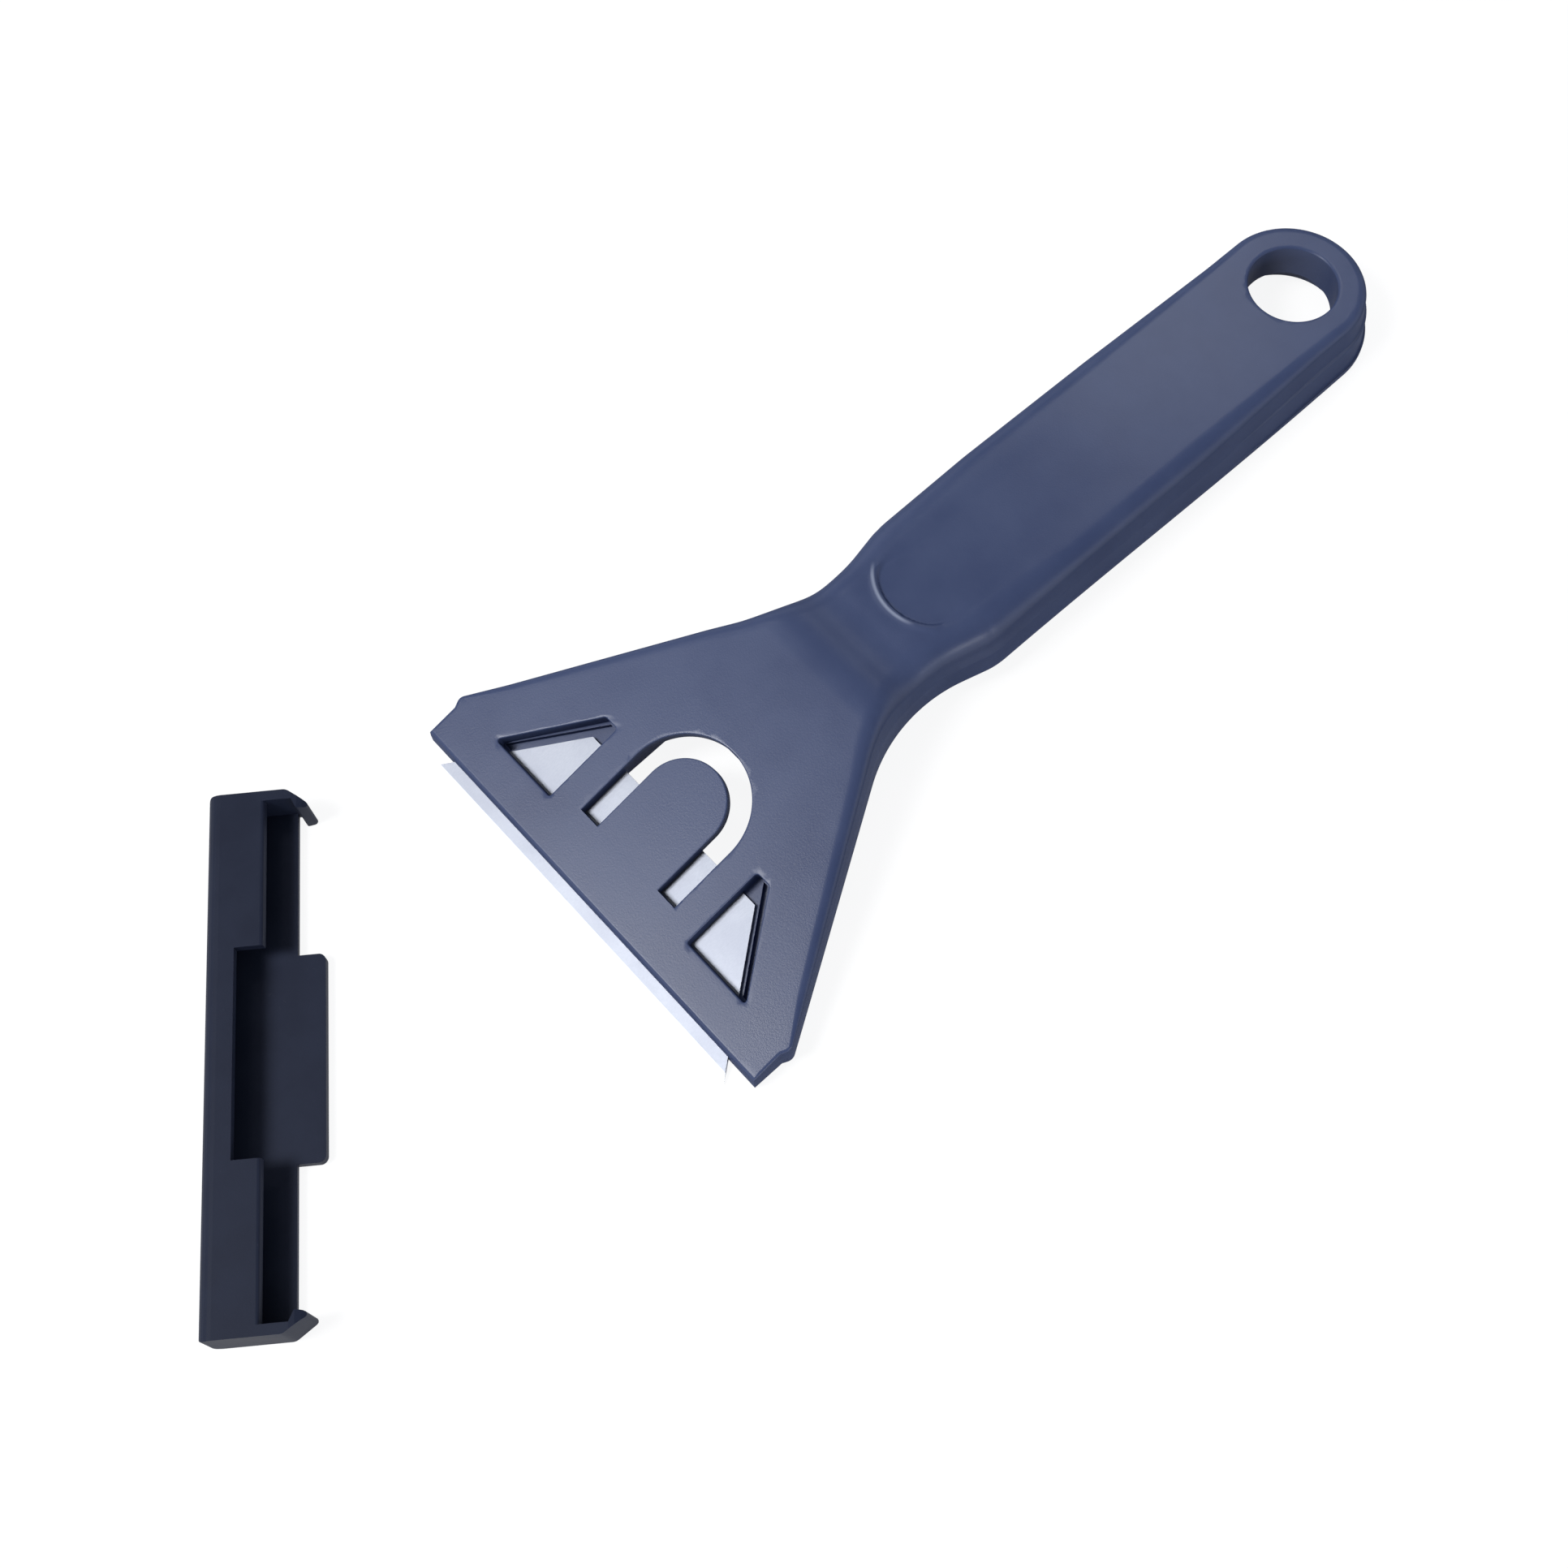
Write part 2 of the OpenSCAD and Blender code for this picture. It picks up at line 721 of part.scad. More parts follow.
// The finger tab, a wider stretch of the lower leg
module cover_tab() {
    linear_extrude(cover_wall) {
        translate([cover_wall, -tab_w / 2])
            square([tab_leg - cover_wall - tab_r, tab_w]);
        translate([cover_wall, -tab_w / 2 + tab_r])
            square([tab_leg - cover_wall, tab_w - tab_r * 2]);
        for (side = [-1, 1])
            translate([tab_leg - tab_r, side * (tab_w / 2 - tab_r)])
                circle(r = tab_r);
    }
}

module cover() {
    color("darkslategray")
        translate([front_x + cover_ahead, -cover_right, 0])
            rotate([0, 0, cover_turn + 90]) {
                difference() {
                    translate([0, cover_half - cover_wall, 0])
                        rotate([90, 0, 0])
                            linear_extrude((cover_half - cover_wall) * 2)
                                cover_section();
                    translate([cut_leg, -tab_w / 2, cover_wall + cover_gap / 2])
                        cube([upper_leg, tab_w, cover_h]);
                }
                both_sides()
                    cover_end();
                cover_tab();
            }
}

holder();
tongue();
blade();
cover();
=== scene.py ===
"""The looks of the razor blade scraper.

It makes the moulded holder with its spring tongue, finishes the blade and the cover that lies beside them,
and lights them on a pale floor.
"""
import math

import bmesh
import bpy
import numpy as np
from mathutils import Matrix, Vector


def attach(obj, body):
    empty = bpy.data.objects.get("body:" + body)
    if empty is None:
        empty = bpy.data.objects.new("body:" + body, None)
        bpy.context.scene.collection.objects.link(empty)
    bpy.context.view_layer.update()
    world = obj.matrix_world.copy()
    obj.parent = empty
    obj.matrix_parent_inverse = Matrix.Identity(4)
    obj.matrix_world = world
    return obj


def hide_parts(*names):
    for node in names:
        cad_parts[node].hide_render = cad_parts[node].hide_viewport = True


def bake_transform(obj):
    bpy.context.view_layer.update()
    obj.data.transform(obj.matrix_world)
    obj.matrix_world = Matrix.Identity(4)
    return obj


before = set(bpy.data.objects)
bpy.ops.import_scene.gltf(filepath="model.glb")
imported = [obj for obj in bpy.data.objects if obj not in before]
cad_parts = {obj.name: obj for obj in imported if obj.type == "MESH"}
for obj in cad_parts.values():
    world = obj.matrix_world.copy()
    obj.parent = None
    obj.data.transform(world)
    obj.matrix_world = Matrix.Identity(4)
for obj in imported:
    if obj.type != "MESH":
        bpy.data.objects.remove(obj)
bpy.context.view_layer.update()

# Sizes are in millimetres until a mesh is made. They repeat the driving dimensions of the CAD model.
MM = 0.001

# Handle
FRONT_X = 135.4
HANDLE_W = 24.7
HANDLE_H = 10.2
HANDLE_RISE = 3.1
ARCH_H = 3.7
ARCH_X = 75.0
TIP_EDGE_R = 1.4
HANDLE_EDGE_R = 2.8
SKIRT_IN = 0.7
STEP_IN = 0.35
HOLE_R = 6.5
PANEL_FRONT_X = 79.8
PANEL_REAR_X = 40.0
PANEL_W = 16.4
PANEL_DEPTH = 0.5

# Neck
BULGE_X = 72.0
BULGE_PROUD = 0.35
BULGE_R = 12.0
THROAT_X = 87.3
THROAT_W = 16.6
THROAT_R = 24.0
BULGE_EDGE_R = 4.6
NECK_EDGE_R = 3.8
VALLEY_X = 85.4
VALLEY_DEPTH = 0.6
VALLEY_R = 12.0
LIP_FALL_R = 24.0
CREST_X = 91.4
CREST_R = 11.0

# Head
FRONT_W = 67.0
SHOULDER_W = 68.3
SHOULDER_BACK = 6.1
NOTCH_BACK = 4.7
SHOULDER_R = 1.4
FRONT_H = 3.1
TILT = math.radians(14.8)
PLATE_T = 1.8
HEAD_EDGE_R = 2.0
FRONT_EDGE_R = 0.45

# Windows and tongue
WINDOW_BACK = 5.9
WINDOW_L = 12.9
WINDOW_IN = 14.1
WINDOW_W = 11.5
WINDOW_TIP_W = 2.4
TONGUE_W = 12.4
SLOT_W = 3.3
ROOT_BACK = 7.8
ARC_BACK = 18.1
NUB_D = 2.6

# Blade and its seat
BLADE_L = 61.0
BLADE_BACK_L = 33.0
BLADE_W = 19.0
BLADE_T = 0.6
BLADE_OUT = 3.4
BEVEL_W = 1.1
NOTCH_W = 3.2
NOTCH_DEPTH = 3.0
BLADE_GAP = 0.05
BLADE_SIDE_GAP = 0.2

# Walls under the holder, and the height at which the tube round the hanging hole stops
WALL = 1.8
RIB_T = 1.4
END_RIB_T = 2.2
SHELF_T = 1.0
ROOF_T = 2.0
RIB_COUNT = 4
TUBE_LIFT = 4.2

# The groove in each window, from the blade's end outwards, and its distance from the ends of the window
GUTTER_IN = 0.55
GUTTER_OUT = 1.8
GUTTER_DEPTH = 1.0
GUTTER_END = 0.3

# What follows from those
TIP_R = HANDLE_W / 2
STEP_END_X = HOLE_R + HANDLE_W
PANEL_R = PANEL_W / 2
PANEL_ROUND_X = PANEL_FRONT_X - PANEL_R
BLADE_LOW = -PLATE_T - BLADE_GAP - BLADE_T
SHELF_TOP = BLADE_LOW - BLADE_GAP
BLADE_BACK = BLADE_W - BLADE_OUT
BLADE_SLOPE = (BLADE_L - BLADE_BACK_L) / 2 / BLADE_W
TIP_HOLLOW_R = TIP_R - SKIRT_IN - STEP_IN * 2 - WALL
ARCH_R = TONGUE_W / 2 + SLOT_W
WELL_HALF = ARCH_R + RIB_T
WELL_BACK = ARC_BACK + ARCH_R + RIB_T * 1.5
BEAM_HALF = WELL_HALF + RIB_T
SHELF_BACK = WINDOW_BACK + WINDOW_L + RIB_T / 2

# Small roundings that every moulded edge has, and the draft of what is cut from below
EDGE_SOFT = 0.22
HOLE_SOFT = 0.45
HOLE_FOOT_OUT = 0.3
HOLE_FOOT_UP = 0.35
HOLLOW_SOFT = 0.5
TUBE_SOFT = 0.2
POCKET_R = 0.6
NUB_SOFT = 0.3
WINDOW_WIDE_R = 0.35
WINDOW_TIP_R = 0.5
DRAFT = 0.1

# A quarter turn from a wall to the flat that it meets, outwards and upwards, and where a cutter goes past it
QUARTER_TURN = [(0.0, -1.0), (0.134, -0.5), (0.5, -0.134)]
PAST_RIM = (1.5, 0.134)

# The holder's side: its upper edge is a little flatter than round, and its wall leans in above the ledge
EDGE_FLAT = 0.85
WALL_LEAN = 0.02
LEAN_FROM = 0.64

# The wall and the lip round the front of the thumb panel, and the degrees from its front over which they
# die away
PANEL_WALL = 0.45
PANEL_SIDE_WALL = PANEL_R * 0.45
WALL_TURN = (35, 95)
LIP_H = 0.18
LIP_W = 0.48
LIP_TURN = (50, 95)

# Where the painted highlight lies on the lip, as a turn from its front and as the cosines between which the
# highlight comes in
LIP_HIGHLIGHT_TURN = math.radians(14)
LIP_HIGHLIGHT_REACH = (0.74, 0.93)

# The millimetres behind and before the line of the blade's bevels over which the bright grinding starts
BEVEL_FADE = (0.25, 0.1)

# The stretch of the outline that gets close points, round the front of the panel and over the neck
FINE_FROM = PANEL_ROUND_X - 3
FINE_TO = CREST_X + 4
FINE_STEP = 0.3
COARSE_STEP = 1.2

# Cutters reach this far past the plastic, and bite this far into a wall where they end. The windows' floors
# lie this far under the shelf that they meet
CLEAR = 1.0
BITE = 0.05
WINDOW_SINK = 0.02

# Points closer than these are one point, in a new mesh in metres and after the cuts in millimetres
WELD = 1e-7
SLIVER = 0.004

# The shares of a surface's facing between which its gloss dies away
RIM_FADE = (0.2, 0.6)

# Lamps: where each stands, what it faces, the way its length runs, length, width, watts and spread in degrees
LAMPS = {
    "key": ((0.640, -0.220, 0.825), (0.090, 0, 0), (0, 1, 0), 0.30, 0.30, 7.2, 180),
    "side_light": ((0.075, -0.320, 0.520), (0.080, 0, 0), (1, 0, 0), 0.13, 0.13, 0.16, 180),
    "low_fill": ((0.120, 0.620, 0.110), (0.090, 0, 0), (1, 0, 0), 0.30, 0.12, 0.75, 180),
    "tip_light": ((-0.120, -0.090, 0.195), (0.005, 0, 0), (0, 1, 0), 0.08, 0.08, 0.0042, 36),
}

# The sky: its light on the object at the horizon and what the zenith adds, and how it dims in gloss
SKY_LOW = 0.20
SKY_HIGH = 0.16
SKY_FADE = (0.1, 0.5)
SKY_MIRRORED = 0.12

# The floor in metres, just under the part, and the distances between which it turns plain white
FLOOR_SIZE = 6.0
FLOOR_MIDDLE = 0.1
FLOOR_DROP = 0.0002
FLOOR_FADE = (0.16, 0.9)
FLOOR_NEAR = (0.90, 0.902, 0.907, 1)
WHITE = (1, 1, 1, 1)


def handle_top(x):
    return HANDLE_H + HANDLE_RISE / PANEL_FRONT_X * x


def panel_floor(x):
    """The thumb panel is deepest at its front and runs out towards the tip."""
    fall = PANEL_DEPTH / (PANEL_FRONT_X - PANEL_REAR_X)
    return handle_top(x) - fall * (x - PANEL_REAR_X)


def head_top(x):
    return FRONT_H + (FRONT_X - x) * math.tan(TILT)


def ease(share):
    """0 to 1 with a soft start and end."""
    k = np.clip(share, 0, 1)
    return k * k * (3 - 2 * k)


def arch(x):
    """Height of the underside, which touches down round the hanging hole and along the front edge."""
    x = np.asarray(x, float)
    rising = (x - HOLE_R) / (ARCH_X - HOLE_R)
    falling = (FRONT_X - x) / (FRONT_X - ARCH_X)
    return ARCH_H * ease(np.where(x < ARCH_X, rising, falling))


def unit(v):
    return v / np.linalg.norm(v)


def corner_arc(a, b, c, radius, steps):
    """Points of the arc that rounds the corner b between a and c."""
    to_a, to_c = unit(a - b), unit(c - b)
    half = math.acos(np.clip(to_a @ to_c, -1, 1)) / 2
    centre = b + unit(to_a + to_c) * radius / math.sin(half)
    first = b + to_a * radius / math.tan(half) - centre
    final = b + to_c * radius / math.tan(half) - centre
    start = math.atan2(first[1], first[0])
    turn = (math.atan2(final[1], final[0]) - start + math.pi) % math.tau - math.pi
    angles = start + turn * np.arange(steps + 1) / steps
    return list(centre + radius * np.c_[np.cos(angles), np.sin(angles)])


def rounded_line(corners, closed=False):
    """A line through corners (x, y, radius, steps), each rounded."""
    points = [np.array(c[:2], float) for c in corners]
    line = []
    for i, (_, _, radius, steps) in enumerate(corners):
        at_end = not closed and i in (0, len(corners) - 1)
        if at_end or radius == 0:
            line.append(points[i])
        else:
            line += corner_arc(points[i - 1], points[i], points[(i + 1) % len(points)], radius, steps)
    return np.array(line)


def split_line(line):
    """The line with points put into every long stretch, closest together where the handle meets the neck."""
    out = []
    for a, b in zip(line[:-1], line[1:]):
        fine = FINE_FROM < (a[0] + b[0]) / 2 < FINE_TO
        count = max(1, math.ceil(np.linalg.norm(b - a) / (FINE_STEP if fine else COARSE_STEP)))
        out += [a + (b - a) * k / count for k in range(count)]
    return np.array(out + [line[-1]])


def plate_point(back, y, height):
    """The place of a point on the head's sloping plate, back from its front edge and square above it."""
    back, y, height = np.broadcast_arrays(np.asarray(back, float), y, height)
    return np.stack([
        FRONT_X - back * math.cos(TILT) + height * math.sin(TILT),
        y,
        FRONT_H + back * math.sin(TILT) + height * math.cos(TILT),
    ], axis=-1)


def plate_x(back):
    return FRONT_X - back * math.cos(TILT)


def below_plate(height):
    """A plane under the plate, as a height over every x and y."""
    return lambda x, y: FRONT_H + (FRONT_X - x) * math.tan(TILT) + height / math.cos(TILT)


def below_handle(drop):
    return lambda x, y: handle_top(x) - drop


def level(height):
    return lambda x, y: np.full(np.shape(x), height)


def blade_half(back):
    return BLADE_L / 2 - (BLADE_OUT + back) * BLADE_SLOPE


def beside_blade(distance):
    """The step in y that is that distance square to the blade's slanting end."""
    return distance / math.cos(math.atan(BLADE_SLOPE))


def add_mesh(name, points, faces):
    """A new object of those points, given in millimetres."""
    mesh = bpy.data.meshes.new(name)
    mesh.from_pydata([tuple(p) for p in np.asarray(points) * MM], [], [tuple(f) for f in faces])
    shell = bmesh.new()
    shell.from_mesh(mesh)
    bmesh.ops.remove_doubles(shell, verts=shell.verts, dist=WELD)
    bmesh.ops.recalc_face_normals(shell, faces=shell.faces)
    shell.to_mesh(mesh)
    shell.free()
    piece = bpy.data.objects.new(name, mesh)
    bpy.context.scene.collection.objects.link(piece)
    return piece


def anticlockwise(outline):
    area = np.cross(outline, np.roll(outline, -1, axis=0)).sum()
    return outline if area > 0 else outline[::-1]


def shift_outline(outline, amount, fixed=()):
    """The closed outline moved inwards, except along the edges whose numbers are fixed."""
    points = anticlockwise(outline)
    count = len(points)
    moved = []
    for i in range(count):
        before = unit(points[i] - points[i - 1])
        after = unit(points[(i + 1) % count] - points[i])
        n0, n1 = np.array([-before[1], before[0]]), np.array([-after[1], after[0]])
        d0 = 0 if (i - 1) % count in fixed else amount
        d1 = 0 if i in fixed else amount
        sine = before[0] * after[1] - before[1] * after[0]
        if abs(sine) < 1e-5:
            moved.append(points[i] + n0 * d0)
        else:
            moved.append(points[i] + np.linalg.solve(np.array([n0, n1]), np.array([d0, d1])))
    return np.array(moved)


def stack(name, outline, levels, place, fixed=()):
    """A closed solid through copies of one outline, each with its own inset and height, the lowest first."""
    rings = []
    for inset, height in levels:
        ring = shift_outline(np.asarray(outline, float), inset, fixed)
        rings.append(place(ring, height))
    count = len(rings[0])
    faces = [list(range(count))[::-1], [count * (len(rings) - 1) + i for i in range(count)]]
    for k in range(len(rings) - 1):
        for i in range(count):
            j = (i + 1) % count
            faces.append([k * count + i, k * count + j, (k + 1) * count + j, (k + 1) * count + i])
    return add_mesh(name, np.vstack(rings), faces)


def upright(ring, height):
    """Places a ring in plan, at a height that may depend on where it is."""
    z = height(ring[:, 0], ring[:, 1]) if callable(height) else np.full(len(ring), float(height))
    return np.c_[ring, z]


def on_plate(ring, height):
    """Places a ring whose x is counted back along the plate."""
    return plate_point(ring[:, 0], ring[:, 1], height)


def soft_mouth(top, radius=EDGE_SOFT):
    """Levels that round an opening's rim outwards and then leave the surface, given the surface's height."""
    rim = [(-out * radius, top(up * radius)) for out, up in QUARTER_TURN + [PAST_RIM]]
    return rim + [(-PAST_RIM[0] * radius, top(CLEAR))]


def cut(target, cutters):
    """Takes the cutters out of the target's mesh."""
    for cutter in cutters:
        change = target.modifiers.new("cut", "BOOLEAN")
        change.operation = "DIFFERENCE"
        change.solver = "EXACT"
        change.object = cutter
        shape = target.evaluated_get(bpy.context.evaluated_depsgraph_get())
        mesh = bpy.data.meshes.new_from_object(shape)
        target.modifiers.clear()
        target.data = mesh
        bpy.data.objects.remove(cutter, do_unlink=True)
    return target


def close_slivers(piece):
    """Merges points that the cuts left too close together to matter, so that no sliver stays in the mesh."""
    shell = bmesh.new()
    shell.from_mesh(piece.data)
    bmesh.ops.remove_doubles(shell, verts=shell.verts, dist=SLIVER * MM)
    bmesh.ops.dissolve_degenerate(shell, edges=shell.edges, dist=SLIVER * MM)
    wide = [face for face in shell.faces if len(face.verts) > 4]
    bmesh.ops.triangulate(shell, faces=wide, ngon_method="EAR_CLIP")
    bmesh.ops.dissolve_degenerate(shell, edges=shell.edges, dist=SLIVER * MM)
    shell.to_mesh(piece.data)
    shell.free()


def soften(piece, angle=28):
    """Smooth shading that stays crisp over sharp edges."""
    piece.data.shade_smooth()
    piece.data.set_sharp_from_angle(angle=math.radians(angle))
    weights = piece.modifiers.new("even_shading", "WEIGHTED_NORMAL")
    weights.keep_sharp = True
    weights.weight = 80


def holder_plan():
    """The left half of the holder's outline over its lower rim, from the tip to the front corner."""
    around = np.radians(90 * np.arange(33) / 32)
    tip = TIP_R * np.c_[-np.cos(around), np.sin(around)]
    flank = rounded_line([
        (0, TIP_R, 0, 0),
        (FINE_FROM, TIP_R + BULGE_PROUD * FINE_FROM / BULGE_X, 0, 0),
        (BULGE_X, TIP_R + BULGE_PROUD, BULGE_R, 6),
        (THROAT_X, THROAT_W / 2, THROAT_R, 30),
        (FRONT_X - SHOULDER_BACK, SHOULDER_W / 2, SHOULDER_R, 8),
        (FRONT_X - NOTCH_BACK, FRONT_W / 2, 0, 0),
        (FRONT_X, FRONT_W / 2, 0, 0),
    ])
    return np.vstack([tip, split_line(flank)[1:]])


def holder_top_line():
    """The line of the top, seen from the side."""
    return rounded_line([
        (-HANDLE_W, handle_top(-HANDLE_W), 0, 0),
        (PANEL_FRONT_X + RIB_T, handle_top(PANEL_FRONT_X + RIB_T), LIP_FALL_R, 12),
        (VALLEY_X, handle_top(VALLEY_X) - VALLEY_DEPTH, VALLEY_R, 14),
        (CREST_X, head_top(CREST_X), CREST_R, 12),
        (FRONT_X + HANDLE_W, head_top(FRONT_X + HANDLE_W), 0, 0),
    ])


def edge_radius(x):
    """The rounding of the holder's upper edge, which is widest at the bulge and crisp along the front."""
    stations = [
        (0, TIP_EDGE_R),
        (STEP_END_X, HANDLE_EDGE_R),
        (PANEL_ROUND_X - PANEL_R * 2, HANDLE_EDGE_R),
        (BULGE_X, BULGE_EDGE_R),
        (THROAT_X - RIB_T * 2, NECK_EDGE_R),
        (THROAT_X + THROAT_R / 2, HEAD_EDGE_R),
        (FRONT_X - SHOULDER_BACK * 2, (HEAD_EDGE_R + FRONT_EDGE_R) / 2),
        (FRONT_X - SHOULDER_BACK, FRONT_EDGE_R),
    ]
    return np.interp(x, *zip(*stations))


def with_panel(points):
    """Sinks the thumb panel, whose wall is crisp round its front only, and raises the soft lip before it."""
    out = points.copy()
    ahead, aside = points[:, 0] - PANEL_ROUND_X, points[:, 1]
    turn = np.degrees(np.arctan2(np.abs(aside), ahead))
    inside = PANEL_R - np.hypot(np.maximum(ahead, 0), aside)
    wide = ease((turn - WALL_TURN[0]) / (WALL_TURN[1] - WALL_TURN[0]))
    wall = PANEL_WALL + (PANEL_SIDE_WALL - PANEL_WALL) * wide
    deep = handle_top(points[:, 0]) - panel_floor(points[:, 0])
    out[:, 2] -= np.maximum(deep, 0) * ease(inside / wall)
    off = (-inside - LIP_W) / LIP_W
    out[:, 2] += LIP_H * np.exp(-off * off) * (1 - ease((turn - LIP_TURN[0]) / (LIP_TURN[1] - LIP_TURN[0])))
    return out


def holder_rings():
    """Closed rings round the whole outline, from the lower rim up the side and over the upper edge."""
    plan = holder_plan()
    mirror = np.array([1, -1])
    before = np.vstack([plan[1:2] * mirror, plan[:-1]])
    after = np.vstack([plan[1:], plan[-1:] * mirror])
    e0 = (plan - before) / np.linalg.norm(plan - before, axis=1)[:, None]
    e1 = (after - plan) / np.linalg.norm(after - plan, axis=1)[:, None]
    n0, n1 = np.c_[-e0[:, 1], e0[:, 0]], np.c_[-e1[:, 1], e1[:, 0]]
    mitre = (n0 + n1) / (1 + (n0 * n1).sum(axis=1))[:, None]
    x = plan[:, 0]
    line = holder_top_line()
    edge_r = edge_radius(x)
    fade = np.interp(x, [BULGE_X, THROAT_X], [1, 0]) * SKIRT_IN
    step = np.interp(x, [HOLE_R, STEP_END_X], [1, 0]) * STEP_IN

    def top_h(at):
        return np.interp(at, line[:, 0], line[:, 1])

    lean = top_h(x) * WALL_LEAN
    # Share of the side's height, share of the skirt's inset, insets of the step, and the foot's rounding
    side = [
        (0.0, 0.0, 0.0, 0.16),
        (0.014, 0.0, 0.0, 0.05),
        (0.028, 0.0, 0.0, 0.0),
        (0.100, 0.0, 0.0, 0.0),
        (0.112, 0.0, 0.22, 0.0),
        (0.122, 0.0, 0.78, 0.0),
        (0.136, 0.0, 1.0, 0.0),
        (0.35, 0.35, 1.0, 0.0),
        (0.585, 0.585, 1.0, 0.0),
        (0.602, 0.602, 1.16, 0.0),
        (0.618, 0.618, 1.62, 0.0),
        (0.634, 0.634, 1.92, 0.0),
        (0.655, 0.655, 2.0, 0.0),
        (0.82, 0.85, 2.0, 0.0),
    ]
    rings = []
    for share, skirt, ledge, foot in side:
        leaning = lean * max(0, share - LEAN_FROM) / (1 - LEAN_FROM)
        p = plan - mitre * (fade * skirt + step * ledge + foot + leaning)[:, None]
        low = arch(p[:, 0])
        rings.append(np.c_[p, low + (top_h(p[:, 0]) - edge_r * EDGE_FLAT - low) * share])
    for angle in np.radians(np.linspace(0, 90, 11)):
        p = plan - mitre * (fade + step * 2 + lean + edge_r * (1 - math.cos(angle)))[:, None]
        rings.append(np.c_[p, top_h(p[:, 0]) - edge_r * EDGE_FLAT * (1 - math.sin(angle))])
    flip = np.array([1, -1, 1])
    return [np.vstack([r, (r[1:] * flip)[::-1]]) for r in rings]


def holder_skin():
    """The outside of the moulding: its rings, with strips across the top and the bottom."""
    rings = holder_rings()
    size = len(rings[0])
    last = size // 2
    points = rings[:-1] + [with_panel(rings[-1])]
    faces = []

    def strips(ring_at, across, shape):
        """Rows of points across the ring, from one side of it to the other, as numbers."""
        ring = rings[ring_at]
        base = sum(len(p) for p in points)
        share = np.linspace(-1, 1, across + 1)[1:-1]
        rows, ids = [], []
        for i in range(1, last + 1):
            left, right = ring[i], ring[size - i]
            rows.append(left + (right - left) * ((1 + share) / 2)[:, None])
            between = [base + (i - 1) * len(share) + k for k in range(len(share))]
            ids.append([ring_at * size + i] + between + [ring_at * size + size - i])
        points.append(shape(np.vstack(rows)))
        return ids

    top, bottom = strips(len(rings) - 1, 64, with_panel), strips(0, 2, lambda p: p)
    on_front = {0: bottom[-1][1:-1], len(rings) - 1: top[-1][1:-1]}
    for k in range(len(rings) - 1):
        for i in range(size):
            j = (i + 1) % size
            low, high = (on_front.get(k, []), on_front.get(k + 1, [])) if i == last else ([], [])
            here, above = k * size, (k + 1) * size
            faces.append([here + i, *low, here + j, above + j, *high[::-1], above + i])
    for ids, tip in ((top, (len(rings) - 1) * size), (bottom, 0)):
        for near, far in zip(ids[:-1], ids[1:]):
            for k in range(len(near) - 1):
                faces.append([near[k], near[k + 1], far[k + 1], far[k]])
        faces.append([tip] + ids[0])
    return add_mesh("holder_body", np.vstack(points), faces)


def circle(radius, steps=96, centre=(0, 0)):
    turn = np.arange(steps) * math.tau / steps
    return np.c_[centre[0] + radius * np.cos(turn), centre[1] + radius * np.sin(turn)]


def box_outline(x0, y0, x1, y1):
    corners = ((x0, y0), (x1, y0), (x1, y1), (x0, y1))
    return rounded_line([(x, y, POCKET_R, 4) for x, y in corners], closed=True)


def hollow(name, outline, roof, soft=HOLLOW_SOFT):
    """A pocket cut from below, with a little draft and a rounded roof."""
    levels = [(-DRAFT, -CLEAR), (0, lambda x, y: roof(x, y) - soft)]
    for k in (30, 60, 90):
        a = math.radians(k)
        levels.append((soft * (1 - math.cos(a)), lambda x, y, s=math.sin(a): roof(x, y) - soft * (1 - s)))
    return stack(name, outline, levels, upright)


def hanging_hole():
    foot = [(-HOLE_FOOT_OUT, -CLEAR), (-HOLE_FOOT_OUT, 0), (0, HOLE_FOOT_UP)]
    rim = soft_mouth(lambda up: below_handle(-up), HOLE_SOFT)
    return stack("hanging_hole", circle(HOLE_R, 128), foot + rim, upright)


def tube_foot():
    """The tube round the hanging hole stops short of the bench, as the photograph shows through the hole."""
    return stack("tube_foot", circle(TIP_HOLLOW_R + BITE), [(0, -CLEAR), (0, TUBE_LIFT)], upright)


def window(side):
    outline = rounded_line([
        (WINDOW_BACK, WINDOW_IN, WINDOW_WIDE_R, 4),
        (WINDOW_BACK, WINDOW_IN + WINDOW_W, WINDOW_WIDE_R, 4),
        (WINDOW_BACK + WINDOW_L, WINDOW_IN + WINDOW_TIP_W, WINDOW_TIP_R, 4),
        (WINDOW_BACK + WINDOW_L, WINDOW_IN, WINDOW_TIP_R, 4),
    ], closed=True)
    levels = [(0, SHELF_TOP - WINDOW_SINK)] + soft_mouth(lambda up: up)
    return stack("window", outline * [1, side], levels, on_plate)


def window_gutter(side):
    """The groove beside the blade's end, which makes the slanting side of the window dark."""
    back = np.array([WINDOW_BACK + GUTTER_END, WINDOW_BACK + WINDOW_L - GUTTER_END])
    inner = blade_half(back) + GUTTER_IN
    outer = blade_half(back) + GUTTER_OUT
    outline = [(back[0], inner[0]), (back[0], outer[0]), (back[1], outer[1]), (back[1], inner[1])]
    levels = [(0, SHELF_TOP - GUTTER_DEPTH), (0, SHELF_TOP + BLADE_GAP)]
    return stack("window_gutter", np.array(outline) * [1, side], levels, on_plate)


def tongue_edge(half, steps=48):
    """The tongue's outline: its root line first, then round its free end."""
    turn = np.radians(np.linspace(90, -90, steps + 1))
    arc = np.c_[ARC_BACK + half * np.cos(turn), half * np.sin(turn)]
    return np.vstack([[[ROOT_BACK, -half], [ROOT_BACK, half]], arc])


def root_edge(outline):
    """Number of the edge along the root, in the direction that shift_outline goes round."""
    at_root = np.isclose(anticlockwise(outline)[:, 0], ROOT_BACK)
    return list(np.flatnonzero(at_root & np.roll(at_root, -1)))


